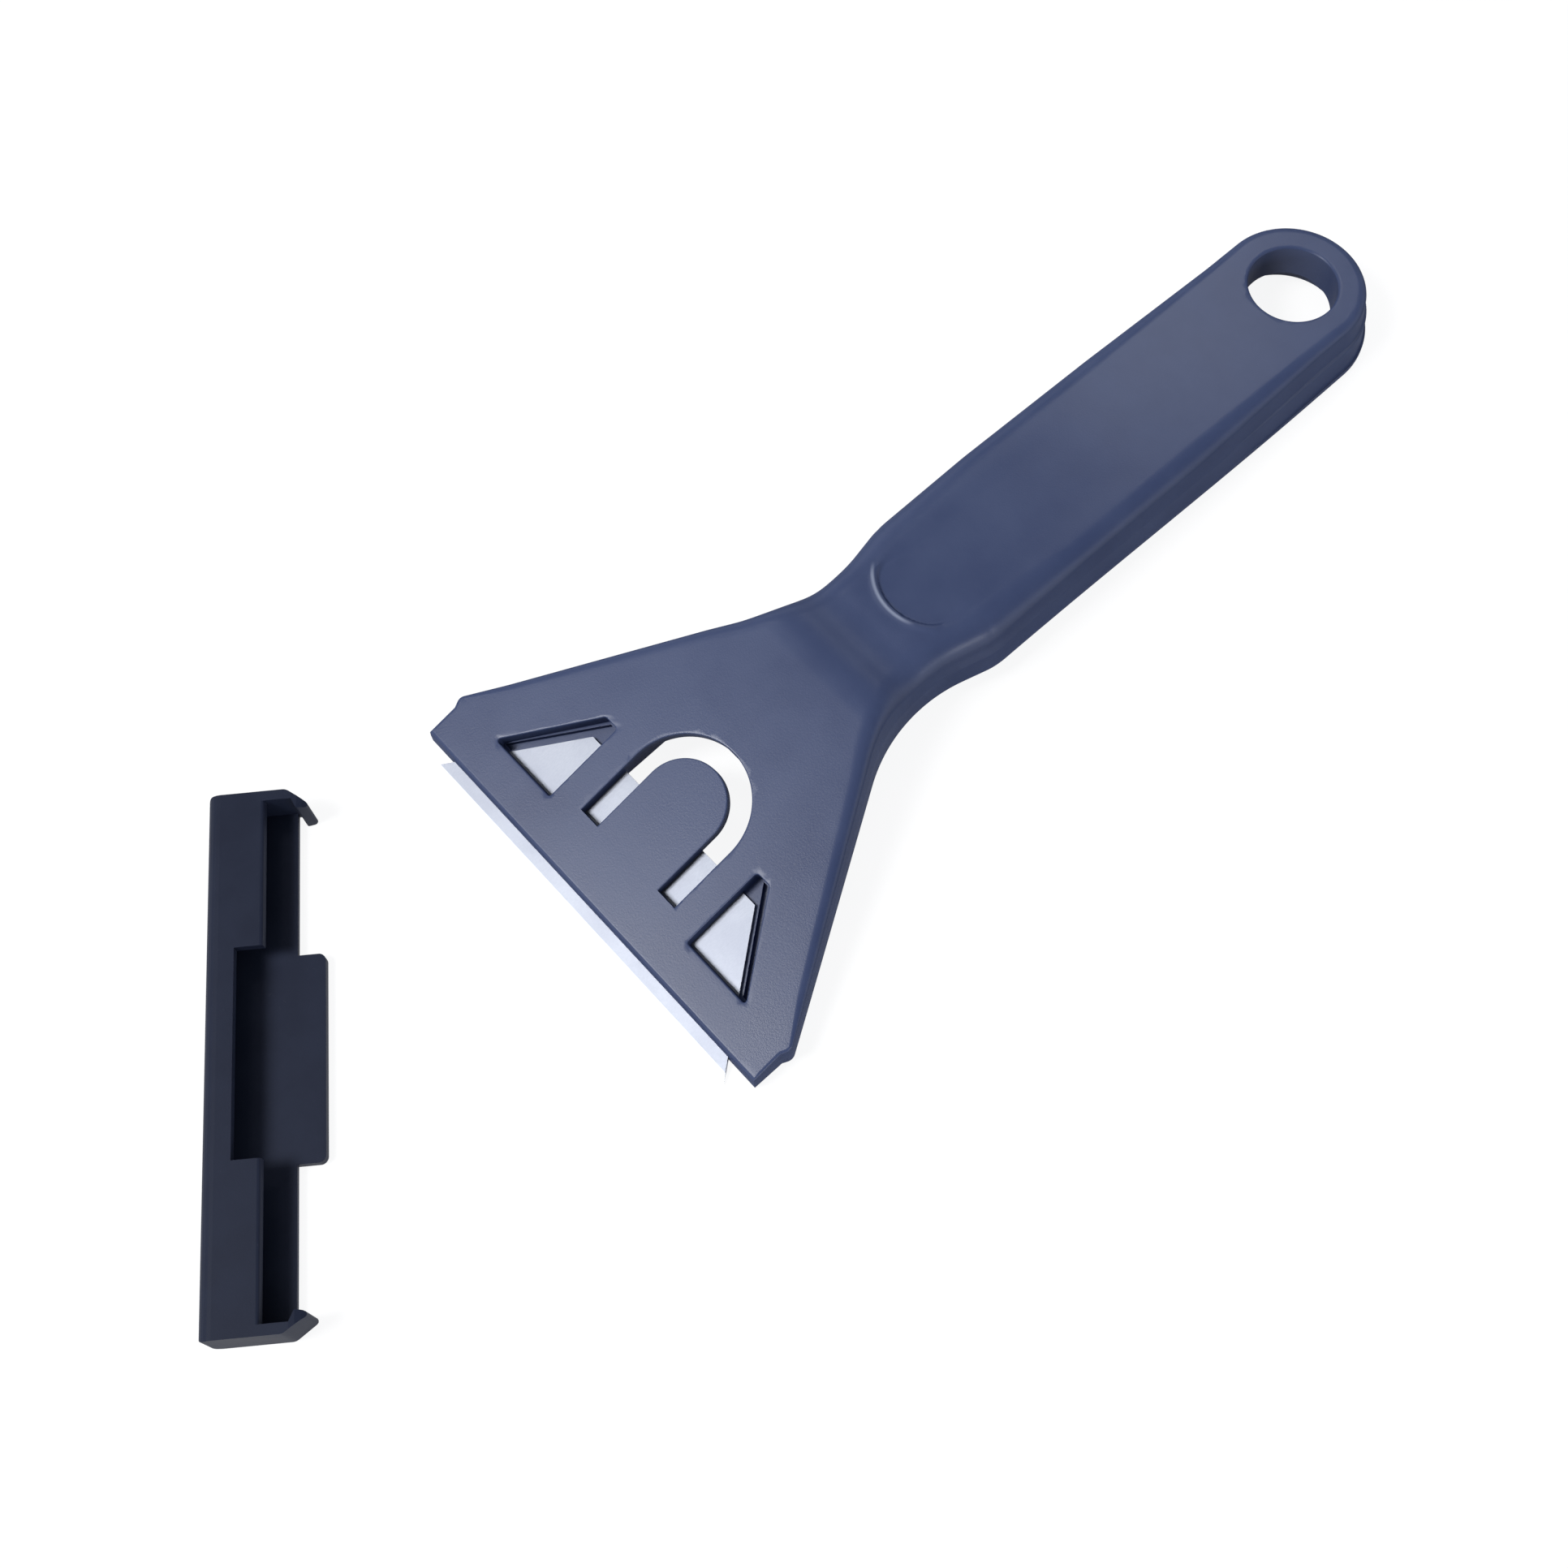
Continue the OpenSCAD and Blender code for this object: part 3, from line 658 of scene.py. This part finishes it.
def tongue_opening():
    outline = tongue_edge(ARCH_R)
    levels = [(0, -PLATE_T - CLEAR)] + soft_mouth(lambda up: up)
    return stack("tongue_opening", outline, levels, on_plate, root_edge(outline))


def blade_slot():
    gap = beside_blade(BLADE_SIDE_GAP)
    rear = BLADE_BACK + BLADE_SIDE_GAP
    outline = [
        (-BLADE_OUT, blade_half(-BLADE_OUT) + gap),
        (rear, blade_half(rear) + gap),
        (rear, -blade_half(rear) - gap),
        (-BLADE_OUT, -blade_half(-BLADE_OUT) - gap),
    ]
    return stack("blade_slot", outline, [(0, SHELF_TOP), (0, SHELF_TOP + BLADE_T + BLADE_GAP * 2)], on_plate)


def well():
    front, rear = FRONT_X + CLEAR, plate_x(WELL_BACK)
    outline = [(front, WELL_HALF), (rear, WELL_HALF), (rear, -WELL_HALF), (front, -WELL_HALF)]
    return stack("well", outline, [(0, -CLEAR), (0, below_plate(-PLATE_T))], upright)


def shelf_hollow(side):
    gap = beside_blade(BLADE_SIDE_GAP)
    front, rear = SHELF_T * 2, SHELF_BACK - RIB_T
    outline = np.array([
        (plate_x(front), BEAM_HALF),
        (plate_x(front), blade_half(front) + gap),
        (plate_x(rear), blade_half(rear) + gap),
        (plate_x(rear), BEAM_HALF),
    ])
    levels = [(0, -CLEAR), (0, below_plate(SHELF_TOP - SHELF_T))]
    return stack("shelf_hollow", outline * [1, side], levels, upright)


def flank_hollow(side):
    gap = beside_blade(BLADE_SIDE_GAP + END_RIB_T)
    shoulder_x = FRONT_X - SHOULDER_BACK
    flank = math.atan((SHOULDER_W - THROAT_W) / 2 / (shoulder_x - THROAT_X))
    wall_y = WALL / math.cos(flank)
    rear_x = shoulder_x - (SHOULDER_W / 2 - wall_y - BEAM_HALF - RIB_T) / math.tan(flank)
    outline = np.array([
        (FRONT_X - WALL, blade_half(WALL) + gap),
        (FRONT_X - WALL, FRONT_W / 2 - WALL),
        (shoulder_x, FRONT_W / 2 - WALL),
        (rear_x, BEAM_HALF + RIB_T),
        (rear_x, BEAM_HALF),
        (plate_x(SHELF_BACK), BEAM_HALF),
        (plate_x(SHELF_BACK), blade_half(SHELF_BACK) + gap),
    ])
    return stack("flank_hollow", outline * [1, side], [(0, -CLEAR), (0, below_plate(-PLATE_T))], upright)


def neck_hollow():
    plan = holder_plan()
    front, rear = plate_x(WELL_BACK) - RIB_T, PANEL_FRONT_X + RIB_T
    roof = handle_top(VALLEY_X) - VALLEY_DEPTH - ROOF_T
    xs = np.linspace(rear, front, 9)
    half = np.minimum(np.interp(xs, plan[:, 0], plan[:, 1]) - WALL - SKIRT_IN, WELL_HALF)
    outline = np.vstack([np.c_[xs, half], np.c_[xs, -half][::-1]])
    return hollow("neck_hollow", outline, level(roof))


def tip_hollow():
    """The pocket round the tube of the hanging hole, as far as the middle rib that ends on the tip."""
    tube, side, rib = HOLE_R + WALL, TIP_HOLLOW_R, RIB_T / 2
    out_at, in_at = math.acos(rib / side), math.acos(rib / tube)
    outer = np.linspace(math.pi / 2, math.pi / 2 + out_at, 24)
    inner = np.linspace(math.pi / 2 + in_at, math.pi / 2 - in_at - math.pi, 60)
    upper = np.c_[side * np.cos(outer), side * np.sin(outer)]
    ring = np.c_[tube * np.cos(inner), tube * np.sin(inner)]
    lower = (upper * [1, -1])[::-1]
    outline = np.vstack([[[tube + RIB_T, -side], [tube + RIB_T, side]], upper, ring, lower])
    return hollow("tip_hollow", outline, level(handle_top(0) - ROOF_T), TUBE_SOFT)


def handle_hollows():
    side = TIP_R - SKIRT_IN - WALL
    start, end = HOLE_R + WALL + RIB_T * 2, PANEL_FRONT_X - RIB_T
    pitch = (end - start + RIB_T) / (RIB_COUNT + 1)
    out = []
    for i in range(RIB_COUNT + 1):
        near, far = start + pitch * i, start + pitch * (i + 1) - RIB_T
        for y0, y1 in ((RIB_T / 2, side), (-side, -RIB_T / 2)):
            pocket = box_outline(near, y0, far, y1)
            out.append(hollow("handle_hollow", pocket, below_handle(PANEL_DEPTH + ROOF_T)))
    return out


def make_holder():
    body = holder_skin()
    cutters = [hanging_hole(), tip_hollow(), neck_hollow()] + handle_hollows()
    cutters += [tube_foot(), well(), blade_slot(), tongue_opening()]
    for side in (-1, 1):
        cutters += [window(side), window_gutter(side), shelf_hollow(side), flank_hollow(side)]
    cut(body, cutters)
    close_slivers(body)
    soften(body)
    return body


def make_tongue():
    """The spring tongue, joined to the plate along its root line."""
    outline = tongue_edge(TONGUE_W / 2)
    rim = np.array(QUARTER_TURN + [(1.0, 0.0)]) * EDGE_SOFT
    levels = [(out, -PLATE_T - up) for out, up in rim[::-1]] + [(out, up) for out, up in rim]
    body = stack("tongue_body", outline, levels, on_plate, root_edge(outline))
    soften(body)
    return body


def make_nub():
    """The round nub under the tongue, which sits in the blade's notch."""
    back = BLADE_BACK - NOTCH_DEPTH + NOTCH_W / 2
    low = BLADE_LOW - BLADE_GAP * 5
    third = NUB_SOFT / 3
    levels = [(NUB_SOFT, low), (third, low + third), (0.0, low + NUB_SOFT), (0.0, -PLATE_T + third * 2)]
    nub = stack("tongue_nub", circle(NUB_D / 2, 48, (back, 0)), levels, on_plate)
    soften(nub)
    return nub


class Wire:
    """One output of a shader node. Arithmetic on it adds Math nodes to the same tree."""

    def __init__(self, tree, socket):
        self.tree = tree
        self.socket = socket

    def _math(self, operation, *values):
        return self.tree.add("ShaderNodeMath", {"operation": operation}, values)

    def __add__(self, other):
        return self._math("ADD", self, other)

    def __sub__(self, other):
        return self._math("SUBTRACT", self, other)

    def __rsub__(self, other):
        return self._math("SUBTRACT", other, self)

    def __mul__(self, other):
        return self._math("MULTIPLY", self, other)

    __radd__ = __add__
    __rmul__ = __mul__

    def clamp(self):
        return self.tree.add("ShaderNodeClamp", {}, {"Value": self})

    def ramp(self, low, high, start=0.0, end=1.0):
        """This value mapped smoothly from low..high to start..end."""
        return self.tree.add("ShaderNodeMapRange", {"interpolation_type": "SMOOTHSTEP"}, {
            "Value": self, "From Min": low, "From Max": high, "To Min": start, "To Max": end})


class Tree:
    """A node tree that adds nodes by type, settings and inputs."""

    def __init__(self, tree):
        self.nodes = tree.nodes
        self.links = tree.links
        self.nodes.clear()

    def add(self, kind, settings=None, inputs=(), out=0):
        node = self.nodes.new(kind)
        for name, value in (settings or {}).items():
            setattr(node, name, value)
        named = inputs.items() if isinstance(inputs, dict) else enumerate(inputs)
        for name, value in named:
            if isinstance(value, Wire):
                self.links.new(value.socket, node.inputs[name])
            else:
                node.inputs[name].default_value = value
        return Wire(self, node.outputs[out]) if node.outputs else node

    def place(self):
        """Place on the piece in metres, which moves with it."""
        return self.add("ShaderNodeTexCoord", out=3)

    def scaled(self, x, y, z):
        """The same place, stretched."""
        return self.add("ShaderNodeMapping", {}, {"Vector": self.place(), "Scale": (x, y, z)})

    def noise(self, size_mm, vector=None, detail=3.0, roughness=0.5):
        """Soft noise with blobs of about that size."""
        place = vector or self.place()
        return self.add("ShaderNodeTexNoise", {}, {
            "Vector": place, "Scale": 1 / (size_mm * MM), "Detail": detail, "Roughness": roughness})

    def mix(self, share, first, second):
        """A colour between two colours."""
        return self.add("ShaderNodeMix", {"data_type": "RGBA"}, {0: share, 6: first, 7: second}, out=2)

    def bump(self, height, depth_mm):
        return self.add("ShaderNodeBump", {}, {"Height": height, "Distance": depth_mm * MM, "Strength": 1.0})

    def vector(self, operation, *values):
        """Vector Math that gives a vector."""
        return self.add("ShaderNodeVectorMath", {"operation": operation}, values)

    def amount(self, operation, *values):
        """Vector Math that gives a number."""
        return self.add("ShaderNodeVectorMath", {"operation": operation}, values, out=1)


def srgb(red, green, blue):
    """A colour read as screen values from 0 to 255, as the shader wants it."""
    def linear(v):
        v /= 255
        return v / 12.92 if v <= 0.04045 else ((v + 0.055) / 1.055) ** 2.4
    return (linear(red), linear(green), linear(blue), 1.0)


def material(name):
    made = bpy.data.materials.new(name)
    made.use_nodes = True
    return made, Tree(made.node_tree)


def finish_surface(tree, matte_rim=0.0, **inputs):
    """The finished shader. With matte_rim, that share of its gloss dies away where it is seen edge on."""
    surface = tree.add("ShaderNodeBsdfPrincipled", {}, {k.replace("_", " "): v for k, v in inputs.items()})
    if matte_rim:
        facing = tree.add("ShaderNodeLayerWeight", {}, {"Blend": 0.5}, out=1)
        edge_on = facing.ramp(*RIM_FADE, 0.0, matte_rim)
        looks = {"Color": inputs["Base_Color"], "Normal": inputs["Normal"]}
        matte = tree.add("ShaderNodeBsdfDiffuse", {}, looks)
        surface = tree.add("ShaderNodeMixShader", {}, [edge_on, surface, matte])
    tree.add("ShaderNodeOutputMaterial", {}, {"Surface": surface})


def painted_lip_highlight(tree):
    """1 on the crest of the lip before the thumb panel, on its left side, where a light colour is painted as
    the highlight that the lamp gives there.
    """
    spoke = tree.vector("SUBTRACT", tree.place(), Vector((PANEL_ROUND_X, 0, 0)) * MM)
    flat = tree.vector("MULTIPLY", spoke, (1, 1, 0))
    reach = tree.amount("LENGTH", flat) * (1 / MM)
    # The side of the lip that the lamp lights, where the painted highlight goes
    highlight_side = (math.cos(LIP_HIGHLIGHT_TURN), -math.sin(LIP_HIGHLIGHT_TURN), 0)
    facing = tree.amount("DOT_PRODUCT", tree.vector("NORMALIZE", flat), highlight_side)
    height = tree.amount("DOT_PRODUCT", spoke, (0, 0, 1)) * (1 / MM)
    crest = PANEL_R + LIP_W
    ridge = reach.ramp(crest - LIP_W * 0.8, crest) * reach.ramp(crest, crest + LIP_W * 0.9, 1, 0)
    return ridge * facing.ramp(*LIP_HIGHLIGHT_REACH) * height.ramp(HANDLE_H, HANDLE_H + 1)


def slate_plastic():
    """Slate-blue moulded plastic: satin, with a fine grain and faint flow marks from the mould, and a painted
    highlight on the lip before the thumb panel.
    """
    made, tree = material("slate_plastic")
    flow = tree.noise(26, tree.scaled(0.35, 1, 1), detail=2)
    patches = tree.noise(7, detail=4)
    scuffs = tree.noise(0.9, tree.scaled(1, 6, 6), detail=6, roughness=0.7)
    grain = tree.noise(0.22, detail=2)
    tone = (flow * 0.65 + patches * 0.35).ramp(0.3, 0.7)
    colour = tree.mix(tone, srgb(57, 69, 105), srgb(70, 82, 117))
    rubbed = scuffs.ramp(0.60, 0.80)
    # Painted highlight: a light colour on the left crest of the lip stands in for the glint of the lamp
    # there.
    colour = tree.mix(painted_lip_highlight(tree) * (0.45 + patches * 0.35), colour, srgb(168, 178, 202))
    colour = tree.mix(rubbed * 0.25, colour, srgb(88, 97, 124))
    roughness = 0.29 + patches * 0.08 + rubbed * 0.08
    finish_surface(tree, matte_rim=0.85, Base_Color=colour, Roughness=roughness, Specular_IOR_Level=0.34,
                   Normal=tree.bump(grain, 0.012))
    return made


def cover_plastic():
    """Near-black moulded plastic, duller than the holder."""
    made, tree = material("cover_plastic")
    patches = tree.noise(6, detail=4)
    grain = tree.noise(0.2, detail=2)
    scuffs = tree.noise(0.8, tree.scaled(1, 1, 5), detail=6, roughness=0.7).ramp(0.6, 0.82)
    colour = tree.mix(patches.ramp(0.3, 0.7), srgb(27, 34, 54), srgb(32, 39, 59))
    colour = tree.mix(scuffs * 0.3, colour, srgb(62, 66, 80))
    finish_surface(tree, Base_Color=colour, Roughness=0.52 + patches * 0.12, Specular_IOR_Level=0.18,
                   Normal=tree.bump(grain, 0.01))
    return made


def blade_steel():
    """Steel with fine grinding lines, brighter on the ground bevels along the edge."""
    made, tree = material("blade_steel")
    lines = tree.noise(0.12, tree.scaled(0.03, 1, 1), detail=5, roughness=0.65)
    cloud = tree.noise(9, detail=3)
    colour = tree.mix(cloud.ramp(0.3, 0.7), srgb(147, 151, 162), srgb(156, 160, 170))
    colour = tree.mix(lines.ramp(0.35, 0.65) * 0.2, colour, srgb(134, 138, 149))
    down_plate = (math.cos(TILT), 0, -math.sin(TILT))
    front = FRONT_X * math.cos(TILT) - FRONT_H * math.sin(TILT)
    out = tree.amount("DOT_PRODUCT", tree.place(), down_plate) * (1 / MM) - front
    bevel_line = BLADE_OUT - BEVEL_W
    ground = out.ramp(bevel_line - BEVEL_FADE[0], bevel_line + BEVEL_FADE[1])
    colour = tree.mix(ground, colour, srgb(232, 235, 240))
    finish_surface(tree, Base_Color=colour, Metallic=1.0, Roughness=0.45 + lines * 0.08,
                   Normal=tree.bump(lines, 0.006))
    return made


def give(piece, finish):
    """That one material on every slot of the piece."""
    if not piece.data.materials:
        piece.data.materials.append(finish)
    for slot in piece.material_slots:
        slot.material = finish


def ray_kinds(tree, *kinds):
    """1 for a ray of any of those kinds."""
    paths = [tree.add("ShaderNodeLightPath", out=f"Is {kind} Ray") for kind in kinds]
    return sum(paths[1:], paths[0]).clamp()


def make_floor():
    """A pale floor that keeps the shadows and is white to the camera where nothing shades it."""
    bpy.ops.mesh.primitive_plane_add(size=FLOOR_SIZE, location=(FLOOR_MIDDLE, 0, -FLOOR_DROP))
    floor = bpy.context.object
    floor.name = "floor"
    made, tree = material("pale_floor")
    pale = tree.add("ShaderNodeBsdfDiffuse", {}, {"Color": (0.62, 0.625, 0.63, 1)})
    faint = tree.add("ShaderNodeBsdfDiffuse", {}, {"Color": (0.15, 0.15, 0.15, 1)})
    away = tree.amount("LENGTH", tree.place()).ramp(*FLOOR_FADE)
    glow = tree.add("ShaderNodeEmission", {}, {"Color": tree.mix(away, FLOOR_NEAR, WHITE)})
    bright = tree.add("ShaderNodeAddShader", {}, [faint, glow])
    seen = ray_kinds(tree, "Camera", "Glossy", "Transmission")
    ground = tree.add("ShaderNodeMixShader", {}, [seen, pale, bright])
    tree.add("ShaderNodeOutputMaterial", {}, {"Surface": ground})
    give(floor, made)


def make_world():
    """A soft even sky, white to the camera. Gloss sees it dim towards the zenith, where the lamps stand."""
    world = bpy.data.worlds.new("studio")
    bpy.context.scene.world = world
    world.use_nodes = True
    tree = Tree(world.node_tree)
    height = tree.add("ShaderNodeSeparateXYZ", {}, {"Vector": tree.add("ShaderNodeTexCoord")}, out=2).clamp()
    white = ray_kinds(tree, "Camera", "Transmission")
    mirrored = ray_kinds(tree, "Glossy") * height.ramp(*SKY_FADE, 1.0, SKY_MIRRORED)
    lighting = SKY_LOW + height * height * SKY_HIGH
    seen = ray_kinds(tree, "Camera", "Glossy", "Transmission")
    strength = lighting * (1 - seen) + white + mirrored * (1 - white)
    light = tree.add("ShaderNodeBackground", {}, {"Color": (0.97, 0.98, 1.0, 1), "Strength": strength})
    tree.add("ShaderNodeOutputWorld", {}, {"Surface": light})


def add_lamp(name, place, aim, along, length, width, power, spread):
    """A rectangular soft light that faces a point, with its length along a direction."""
    lamp = bpy.data.lights.new(name, "AREA")
    lamp.shape = "RECTANGLE"
    lamp.size, lamp.size_y = length, width
    lamp.energy = power
    lamp.spread = math.radians(spread)
    back = (Vector(place) - Vector(aim)).normalized()
    side = Vector(along) - back * back.dot(Vector(along))
    side.normalize()
    turn = Matrix((side, back.cross(side), back)).transposed()
    stand = bpy.data.objects.new(name, lamp)
    stand.matrix_world = Matrix.Translation(place) @ turn.to_4x4()
    bpy.context.scene.collection.objects.link(stand)


def make_camera():
    """The camera stands where the photograph was taken from, as fitted to the scraper's outlines."""
    focal_px = 2535.0
    photo_px = 1932.0
    yaw, pitch, roll = map(math.radians, (232.43, 66.99, -4.97))
    target = Vector((104.16, 4.56, 0)) * MM
    distance = 281.15 * MM
    forward = Vector((math.cos(yaw) * math.cos(pitch), math.sin(yaw) * math.cos(pitch), -math.sin(pitch)))
    sideways = Vector((math.sin(yaw), -math.cos(yaw), 0))
    up = sideways.cross(forward)
    right = sideways * math.cos(roll) + up * math.sin(roll)
    top = up * math.cos(roll) - sideways * math.sin(roll)
    data = bpy.data.cameras.new("camera")
    data.sensor_width = 36.0
    data.lens = focal_px / photo_px * data.sensor_width
    data.clip_start = 0.01
    camera = bpy.data.objects.new("camera", data)
    turn = Matrix((right, top, -forward)).transposed()
    camera.matrix_world = Matrix.Translation(target - forward * distance) @ turn.to_4x4()
    bpy.context.scene.collection.objects.link(camera)
    bpy.context.scene.camera = camera


def main():
    bpy.context.scene.view_settings.view_transform = "Standard"
    make_camera()
    slate, black, steel = slate_plastic(), cover_plastic(), blade_steel()
    holder = make_holder()
    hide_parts("holder")
    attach(holder, "holder")
    tongue, nub = make_tongue(), make_nub()
    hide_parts("tongue")
    tuple(plate_point(ROOT_BACK, 0, 0) * MM)
    tuple(plate_point(ROOT_BACK + 3, 0, 0) * MM)
    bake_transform(tongue)
    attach(nub, "tongue")
    for piece in (holder, tongue, nub):
        give(piece, slate)
    give(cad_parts["blade"], steel)
    give(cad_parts["cover"], black)
    make_floor()
    make_world()
    for name, lamp in LAMPS.items():
        add_lamp(name, *lamp)


main()
